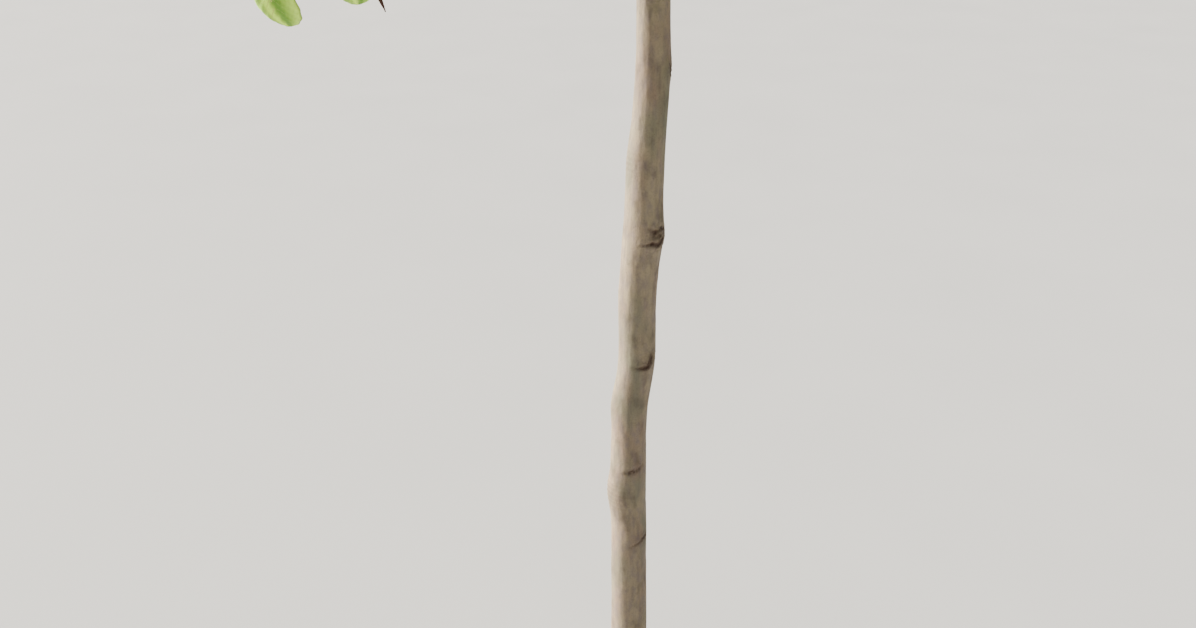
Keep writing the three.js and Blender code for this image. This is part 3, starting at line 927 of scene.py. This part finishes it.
# The lobes that reach back beside the stalk, and the waves of its margins, as a share of the width
LOBE = 0.1
LOBE_POWER = 5
WAVES = 1.2
WAVE_SHIFT = 0.2
WAVE_HEIGHT = 0.05

# Stalks and ribs: how far the stalk keeps its first heading, where the rib's rings lie, and the radii of the
# stalk's and the rib's rings in radii of a stalk
STALK_PULL = 0.4
STALK_SIDES = 3
RIB_PLACES = (0.02, 0.15, 0.32, 0.5, 0.68, 0.84)
RIB_RADII = (1.35, 1, 0.95, 1.25, 1.15, 1, 0.82, 0.62, 0.38)


def blade_outline(t):
    """Half the blade's width at a share of its length, as a share of its widest half."""
    return np.sin(pi * t**OUTLINE_FOOT) ** OUTLINE_BLUNTNESS * (1 - TIP_NARROWING * t**3)


def between_veins(t, s):
    """0 on a fine blade's side veins and 1 midway between them."""
    return 0.5 - 0.5 * np.cos(2 * pi * (t - VEIN_REACH * np.abs(s) - FIRST_VEIN) / FINE_VEINS[1])


def fine_veins_and_painted_light(t, s):
    """How deep a fine blade's colour is, from 0 to 1: deeper between its veins, with painted shade beside the
    rib and painted light down one side and along the other's margin.
    """
    depth = FINE_DEPTH + FINE_VEIN_DEPTH * between_veins(t, s)
    for more, middle, width in PAINTED_LIGHT_STREAKS:
        depth = depth + more * bump((s - middle) / width)
    return np.clip(depth, 0, 1)


def blade_template(rows, top, under):
    """A blade's points as share along, share across, side (1 upper, -1 under) and tooth (1 out, -1 in),
    and its triangles."""
    spots = [(0, 0, 0, 0), (1, 0, 0, 0)]
    for u in np.linspace(0, 1, rows)[1:-1]:
        t = (1 - ROW_CROWDING) * u + ROW_CROWDING * (0.5 - 0.5 * cos(pi * u))
        tooth = -cos(pi * TEETH * u)
        spots += [(t, -1, 0, tooth), *((t, s, 1, 0) for s in top)]
        spots += [(t, 1, 0, tooth), *((t, s, -1, 0) for s in under)]
    width = len(top) + len(under) + 2
    last = 2 + (rows - 3) * width
    faces = []

    def panel(columns, turn):
        for left, right in zip(columns, columns[1:]):
            faces.append((0, 2 + right, 2 + left)[::turn])
            faces.append((1, last + left, last + right)[::turn])
            for a in range(2, last, width):
                b = a + width
                faces.append((a + left, a + right, b + right)[::turn])
                faces.append((a + left, b + right, b + left)[::turn])

    panel([*range(len(top) + 2)], 1)
    panel([0, *range(len(top) + 2, width), len(top) + 1], -1)
    return np.array(spots, float), np.array(faces)


def blade_place(leaf, t, s, side=0, tooth=0):
    """The points of leaves' blades: t, s, side and tooth are columns of the template, and leaf holds arrays
    with a row for each leaf."""
    form = ("fine", "width", "length", "curl", "fold", "wave")
    fine, width, length, curl, fold, wave = (leaf[key][:, None] for key in form)
    tooth = tooth * (1 - FINE_TOOTH_LOSS * fine)
    across = s * blade_outline(t) * (1 + TOOTH_WIDTH * tooth) * width / 2
    lobe = LOBE * np.abs(s) * (1 - t) ** LOBE_POWER * (t > 0)
    bend = curl * (t - lobe + TOOTH_LENGTH * tooth)
    ahead = length * np.sin(bend) / curl
    sink = -length * (1 - np.cos(bend)) / curl
    flat = across / np.sqrt(1 + fold**2)
    swing = np.sin(2 * pi * (WAVES * t + WAVE_SHIFT * np.sign(s))) * np.abs(s)
    ripple = wave * WAVE_HEIGHT * width * swing
    quilt = QUILT * between_veins(t, s) * np.sin(pi * np.abs(s)) - MARGIN_ROLL * s**4
    up = sink + fold * np.abs(across) + ripple + fine * quilt + 0.5 * LEAF_THICKNESS * side
    return (
        leaf["root"][:, None]
        + leaf["direction"][:, None] * ahead[:, :, None]
        + leaf["side"][:, None] * flat[:, :, None]
        + leaf["normal"][:, None] * up[:, :, None]
    )


def leaf_columns(leaves):
    """The leaves' numbers as arrays, a row for each leaf."""
    columns = {key: np.array([leaf[key] for leaf in leaves]) for key in leaves[0] if key != "tint"}
    columns["side"] = np.cross(columns["direction"], columns["normal"])
    return columns


def repeated(points, faces, count):
    """The points of a number of like forms, and their triangles from those of one."""
    step = points.size // 3 // count * np.arange(count)
    return points.reshape(-1, 3), (faces[None] + step[:, None, None]).reshape(-1, 3)


def blade_mesh(leaves, rows, top, under):
    spots, faces = blade_template(rows, top, under)
    return repeated(blade_place(leaf_columns(leaves), *spots.T[:, None]), faces, len(leaves))


def stalk_mesh(leaves):
    """Each leaf's stalk, which goes on as the rib along its blade."""
    leaf = leaf_columns(leaves)
    rib = np.array(RIB_PLACES)[None]
    on_blade = blade_place(leaf, rib, 0 * rib)
    pull = lengths(leaf["root"] - leaf["foot"])[:, None] * STALK_PULL
    a = leaf["foot"]
    b = a + leaf["heading"] * pull
    c = leaf["root"] - leaf["direction"] * pull * 0.5
    stalk = [a, 0.25 * a + 0.5 * b + 0.25 * c, 0.25 * b + 0.5 * c + 0.25 * leaf["root"]]
    line = np.concatenate([np.stack(stalk, 1), on_blade], 1)
    radii = np.array(RIB_RADII) * STALK_RADIUS
    ahead = np.gradient(line, axis=1)
    ahead /= lengths(ahead)[:, :, None]
    across = leaf["side"][:, None] - ahead * (ahead * leaf["side"][:, None]).sum(2)[:, :, None]
    across /= lengths(across)[:, :, None]
    over = np.cross(ahead, across)
    angle = 2 * pi * (np.arange(STALK_SIDES) / STALK_SIDES + 0.25)
    out = across[:, :, None] * np.cos(angle)[:, None] + over[:, :, None] * np.sin(angle)[:, None]
    points = closed(line, line[:, :, None] + out * radii[None, :, None, None])
    return repeated(points, tube_faces(len(radii), STALK_SIDES), len(leaves))


def vein_mesh(leaves, pairs, spacing, rings):
    """The side veins, each a slim ridge from the rib towards the margin that stands out of both faces."""
    leaf = leaf_columns(leaves)
    first = np.tile(FIRST_VEIN + spacing * np.arange(pairs), 2)
    hand = np.repeat([-1, 1], pairs)
    places = []
    for share in np.linspace(VEIN_START, VEIN_END, rings + 1):
        places.append(blade_place(leaf, (first + VEIN_REACH * share)[None], (share * hand)[None]))
    line = np.stack(places, 2)
    angle = 2 * pi * np.arange(VEIN_SIDES)[:, None] / VEIN_SIDES
    out = (
        leaf["normal"][:, None, None, None] * np.cos(angle)
        - leaf["direction"][:, None, None, None] * np.sin(angle) * hand[:, None, None, None]
    )
    radii = np.linspace(*VEIN_RADII, rings + 1)[:-1, None, None]
    points = closed(line, line[:, :, :-1, None] + radii * out)
    return repeated(points, tube_faces(rings, VEIN_SIDES), len(leaves) * 2 * pairs)


# Materials


def colour(*screen):
    """A shader colour from the 0 to 255 numbers of a screen colour."""
    linear = [((c / 255 + 0.055) / 1.055) ** 2.4 if c > 10 else c / 255 / 12.92 for c in screen]
    return (*linear, 1)


class Shader:
    """A material with helpers that add nodes to it. Values may be numbers, colours or outputs of nodes."""

    def __init__(self, name):
        self.material = bpy.data.materials.new(name)
        self.material.use_nodes = True
        self.tree = self.material.node_tree
        self.surface = self.tree.nodes["Principled BSDF"]
        self.coordinates = self.tree.nodes.new("ShaderNodeTexCoord").outputs["Object"]

    def feed(self, node, **inputs):
        """Sets inputs of a node; an underscore stands for a space in their names."""
        for name, value in inputs.items():
            socket = node.inputs[name.replace("_", " ")]
            if isinstance(value, bpy.types.NodeSocket):
                self.tree.links.new(value, socket)
            else:
                socket.default_value = value

    def add(self, kind, output, **inputs):
        node = self.tree.nodes.new("ShaderNode" + kind)
        self.feed(node, **inputs)
        return node.outputs[output]

    def drawn_out(self, z):
        return self.add("Mapping", "Vector", Vector=self.coordinates, Scale=(1, 1, z))

    def noise(self, vector, scale, detail):
        return self.add("TexNoise", "Fac", Vector=vector, Scale=scale, Detail=detail, Roughness=NOISE_GRAIN)

    def cells(self, vector, scale):
        return self.add("TexVoronoi", "Distance", Vector=vector, Scale=scale)

    def shade(self):
        node = self.tree.nodes.new("ShaderNodeAttribute")
        node.attribute_name = "shade"
        return node.outputs["Fac"]

    def spread(self, value, low, high, to_low=0, to_high=1):
        ends = {"From_Min": low, "From_Max": high, "To_Min": to_low, "To_Max": to_high}
        return self.add("MapRange", "Result", Value=value, **ends)

    def mix(self, share, first, second):
        node = self.tree.nodes.new("ShaderNodeMix")
        node.data_type = "RGBA"
        self.feed(node, Factor=share, A=first, B=second)
        return node.outputs["Result"]

    def look(self, tone, roughness, shine, height, strength):
        """Sets the surface's colour, roughness and shine, and bumps of a height and strength."""
        normal = self.add("Bump", "Normal", Height=height, Strength=strength, Distance=GRAIN_DEPTH)
        self.feed(self.surface, Base_Color=tone, Roughness=roughness, Specular_IOR_Level=shine, Normal=normal)


# Layers of colour over a bark's light tone: how the noise is drawn out upwards, its scale and detail,
# where the colour starts and is strongest, how strong that is, and the tone
BARK_LAYERS = {
    "patches": (0.4, 38, 3, 0.4, 0.62, 1, "warm"),
    "flecks": (0.45, 150, 2, 0.42, 0.68, 0.6, "cool"),
    "clouds": (0.5, 23, 2, 0.5, 0.66, 0.75, "green"),
    "blots": (0.6, 61, 4, 0.52, 0.72, 0.55, "dark"),
    "streaks": (0.1, 230, 3, 0.45, 0.75, 0.3, "dark"),
    "mottle": (1, 520, 3, 0.45, 0.8, 0.3, "dark"),
}
# The last and darkest tone serves both for scars and for painted shade
BARK_TONES = ("light", "warm", "cool", "green", "dark", "scar_and_painted_shade")
BARK_SHINE = 0.3
BARK_ROUGHNESS = (0.68, 0.85)
CROSS_MARKS = (2.6, 150)  # how flat they are, and scale
BARK_BUMP = 0.3
LEAF_BUMP = 0.35
GRAIN_DEPTH = 0.0006  # in metres, on bark and leaves alike
NOISE_GRAIN = 0.55
WHITE = (1, 1, 1, 1)

LEAF_SHINE = 0.28
LEAF_ROUGHNESS = (0.48, 0.62)
LEAF_DRIFT = (11, 2)  # scale and detail, as in the next
LEAF_MOTTLE = (240, 3)
LEAF_NET = 420


def bark_material(name, *tones):
    """Smooth young bark: soft patches of its tones, faint streaks along it, small cross marks, and where the
    mesh carries a shade, its darkest tone: scars, and painted shade in creases, pleats and grooves.
    """
    shader = Shader(name)
    tones = dict(zip(BARK_TONES, (colour(*tone) for tone in tones)))
    noises = {}
    tone = tones["light"]
    for layer, (stretch, scale, detail, low, high, most, key) in BARK_LAYERS.items():
        noises[layer] = shader.noise(shader.drawn_out(stretch), scale, detail)
        tone = shader.mix(shader.spread(noises[layer], low, high, 0, most), tone, tones[key])
    flatness, scale = CROSS_MARKS
    marks = shader.cells(shader.drawn_out(flatness), scale)
    tone = shader.mix(shader.spread(marks, 0.15, 0.06, 0, 0.35), tone, tones["scar_and_painted_shade"])
    # The mesh's shade mixes in the darkest tone: scar colour at knots, nodes and tips, and painted shade in
    # the trunk's creases, pleats and grooves
    tone = shader.mix(shader.shade(), tone, tones["scar_and_painted_shade"])
    roughness = shader.spread(noises["blots"], 0.3, 0.7, *BARK_ROUGHNESS)
    grain = shader.spread(noises["mottle"], 0.2, 0.8)
    height = shader.mix(shader.spread(marks, 0.2, 0.05), grain, WHITE)
    shader.look(tone, roughness, BARK_SHINE, height, BARK_BUMP)
    return shader.material


def leaf_material(name, *tones):
    """A soft leaf: its tint drifts and is finely mottled, with a satin face and a fine net of veins. Where
    a blade has a shade, its tissue is deeper: between its veins, and as painted shade beside the low leaves'
    ribs, whose painted sunlit streak and margin stay pale."""
    main, second, deep = (colour(*tone) for tone in tones)
    shader = Shader(name)
    drift = shader.noise(shader.coordinates, *LEAF_DRIFT)
    mottle = shader.noise(shader.coordinates, *LEAF_MOTTLE)
    net = shader.cells(shader.coordinates, LEAF_NET)
    tone = shader.mix(shader.spread(drift, 0.3, 0.7), main, second)
    tone = shader.mix(shader.spread(mottle, 0.4, 0.8, 0, 0.35), tone, second)
    tone = shader.mix(shader.spread(net, 0.1, 0.5, 0.16, 0), tone, deep)
    # the mesh's shade deepens tissue between veins, and on the low leaves paints shade beside the rib
    tone = shader.mix(shader.shade(), tone, deep)
    roughness = shader.spread(mottle, 0.3, 0.7, *LEAF_ROUGHNESS)
    height = shader.mix(shader.spread(mottle, 0, 1, 0.2, 0.6), net, WHITE)
    shader.look(tone, roughness, LEAF_SHINE, height, LEAF_BUMP)
    return shader.material


# Each bark's tones in the order of BARK_TONES
BARKS = dict(
    bark=[(143, 130, 106), (132, 114, 96), (117, 104, 101), (104, 104, 85), (82, 74, 63), (64, 45, 32)],
    young_bark=[(146, 118, 92), (138, 100, 78), (130, 100, 86), (118, 110, 74), (92, 68, 52), (54, 36, 28)],
    shoot_bark=[(138, 92, 66), (128, 70, 56), (122, 70, 60), (112, 98, 56), (88, 46, 38), (60, 30, 28)],
)
bark, young_bark, shoot_bark = (bark_material(name, *tones) for name, tones in BARKS.items())
LEAF_COLOURS = {
    "leaf_mid": ((110, 142, 40), (92, 126, 32), (62, 92, 18)),
    "leaf_light": ((136, 166, 50), (116, 148, 40), (78, 110, 22)),
    "leaf_deep": ((84, 116, 34), (70, 100, 28), (48, 74, 18)),
    "leaf_yellow": ((158, 174, 58), (142, 160, 48), (106, 124, 30)),
    # The low leaves' tones are a lit copy of a leaf's: a bright main tone for their painted sunlit streak and
    # a deep one for their painted shade
    "low_leaf": ((216, 255, 94), (202, 248, 78), (90, 140, 14)),
    "stalk_skin": ((192, 198, 114), (180, 160, 94), (150, 110, 68)),
}
leaf_skins = {name: leaf_material(name, *tones) for name, tones in LEAF_COLOURS.items()}

# Trunk and boughs

*form, shade = trunk_mesh()
mesh_piece("trunk_bark", *form, bark, "bark", ["trunk"], shade)
for i, limb in enumerate([*limbs, leader]):
    name, node = ("leader", "foliage_top") if limb is leader else [f"bough_{i + 1}"] * 2
    *form, shade = limb_mesh(limb, i)
    mesh_piece(f"{name}_bark", *form, young_bark, "young_bark", [node], shade)

# Masses of twigs and leaves

# Tubes of twigs, shoots and the low leaves' shoots, as steps between two points, radii at root and tip, the
# tip's darkness and the power that it grows with, and sides
TWIG_TUBE = (6, 2.3, 0.9, 0.3, 1, 7)
SHOOT_TUBE = (3, 1.05, 0.6, 0.5, 2, 5)
LOW_SHOOT_TUBE = (4, 1.3, 0.9, 0, 1, 6)
LOW_SHOOT_BOW = vector(-2, 2, 0)
# The nodding shoot, as steps between two points, radius and sides, and its bud, as place, length and swelling
NODDING_TUBE = (12, 1.3, 8)
BUD = (0.88, 0.08, 1.25)
# Where it begins to darken, how fast and how far
DARK_TIP = (0.75, 6, 0.9)

twig_heap = Heap()
shoot_heap = Heap()
leaves = []
for own, stem in enumerate(stems):
    twigs, shoots, grown = grow_mass(stem, own)
    leaves += grown
    for twig in twigs:
        twig_heap.grow(twig["points"], *TWIG_TUBE)
    for shoot in shoots:
        shoot_heap.grow(shoot["points"], *SHOOT_TUBE)

# The low leaves on their shoots, and the nodding shoot with the bud at its tip
low_leaves = [hanging_leaf(*form[1:]) for form in LOW_LEAVES]
for (share, *_), leaf in zip(LOW_LEAVES, low_leaves):
    start = place_on(stems[0]["points"], share)[0]
    shoot_heap.grow([start, 0.5 * (start + leaf["foot"]) + LOW_SHOOT_BOW, leaf["foot"]], *LOW_SHOOT_TUBE)
start = place_on(stems[0]["points"], NODDING_SHARE)[0]
steps, radius, sides = NODDING_TUBE
line = smooth_line([start, *NODDING_POINTS], steps)
share = np.linspace(0, 1, len(line))
place, length, swelling = BUD
bud = swelling * bump((share - place) / length)
place, speed, most = DARK_TIP
shoot_heap.add(line, radius - share**3 + bud, np.clip(speed * (share - place), 0, most), sides)

twig_heap.make("twigs", young_bark)
shoot_heap.make("shoots", shoot_bark)
for tint in TINTS:
    chosen = [leaf for leaf in leaves if leaf["tint"] == tint]
    name = tint.replace("leaf", "leaves")
    mesh_piece(name, *blade_mesh(chosen, *BLADE_GRID), leaf_skins[tint], tint, mass_names)
for i, leaf in enumerate(low_leaves):
    blade = blade_mesh([leaf], *FINE_GRID)
    # painted shade and painted light down the low leaves, and deeper tissue between their veins
    shade = fine_veins_and_painted_light(*blade_template(*FINE_GRID)[0].T[:2])
    mesh_piece(f"low_leaf_{i + 1}", *blade, leaf_skins["low_leaf"], leaf["tint"], mass_names[:1], shade)
stalky = (leaf_skins["stalk_skin"], "leaf_yellow")
mesh_piece("low_leaf_veins", *vein_mesh(low_leaves, *FINE_VEINS), *stalky, mass_names[:1])
mesh_piece("leaf_stalks", *stalk_mesh(leaves + low_leaves), *stalky, mass_names)
half = len(leaves) // 2
for name, part in (("leaf_veins_low", leaves[:half]), ("leaf_veins_high", leaves[half:])):
    mesh_piece(name, *vein_mesh(part, *VEINS), *stalky, mass_names)

# Stage

FLOOR_REACH = 40  # metres each way
SKY_STRENGTH = 0.25
SKY_TINT = (0.85, 0.92, 1.0)
# Lights, as name, kind, place, aim, power, tint, and how wide they are, in degrees for a sun, else in metres
LIGHTS = [
    ("key", "SUN", (-4.3, 1.25, 1.6), (0, 0, 0), 26, (1.0, 0.92, 0.8), 26),
    ("fill", "AREA", (2.6, -4.2, 3.2), (0, 0, 1.2), 8, SKY_TINT, 3),
]


def add_light(name, kind, place, aim, power, tint, wide):
    """A light at a place, turned towards a point; a sun only takes its direction from them."""
    data = bpy.data.lights.new(name, kind)
    data.energy = power
    data.color = tint
    if kind == "SUN":
        data.angle = radians(wide)
    else:
        data.size = wide
    lamp = place_object(name, data)
    lamp.location = place
    direction = Vector(aim) - Vector(place)
    lamp.rotation_euler = direction.to_track_quat("-Z", "Y").to_euler()


CAMERA_PLACE = (-0.0411, -1.104, 1.075)
CAMERA_DOWN = 26.5  # degrees below the level
CAMERA_LENS = 33.2  # on a sensor 36 mm wide

data = bpy.data.cameras.new("camera")
data.lens = CAMERA_LENS
data.sensor_width = 36
data.clip_end = 200
camera = place_object("camera", data)
camera.location = CAMERA_PLACE
camera.rotation_euler = (radians(90 - CAMERA_DOWN), 0, 0)
bpy.context.scene.camera = camera

mesh = bpy.data.meshes.new("floor")
corners = [(x * FLOOR_REACH, y * FLOOR_REACH, 0) for x, y in ((-1, -1), (1, -1), (1, 1), (-1, 1))]
mesh.from_pydata(corners, [], [(0, 1, 2, 3)])
shader = Shader("floor")
cloud = shader.noise(shader.coordinates, 3, 2)
tone = shader.mix(cloud, colour(188, 190, 192), colour(194, 196, 198))
roughness = shader.spread(cloud, 0.3, 0.7, 0.85, 0.95)
shader.feed(shader.surface, Base_Color=tone, Roughness=roughness)
mesh.materials.append(shader.material)
floor = place_object("floor", mesh)

world = bpy.data.worlds.new("studio")
world.use_nodes = True
background = world.node_tree.nodes["Background"]
background.inputs["Color"].default_value = (*SKY_TINT, 1)
background.inputs["Strength"].default_value = SKY_STRENGTH
bpy.context.scene.world = world
for light in LIGHTS:
    add_light(*light)
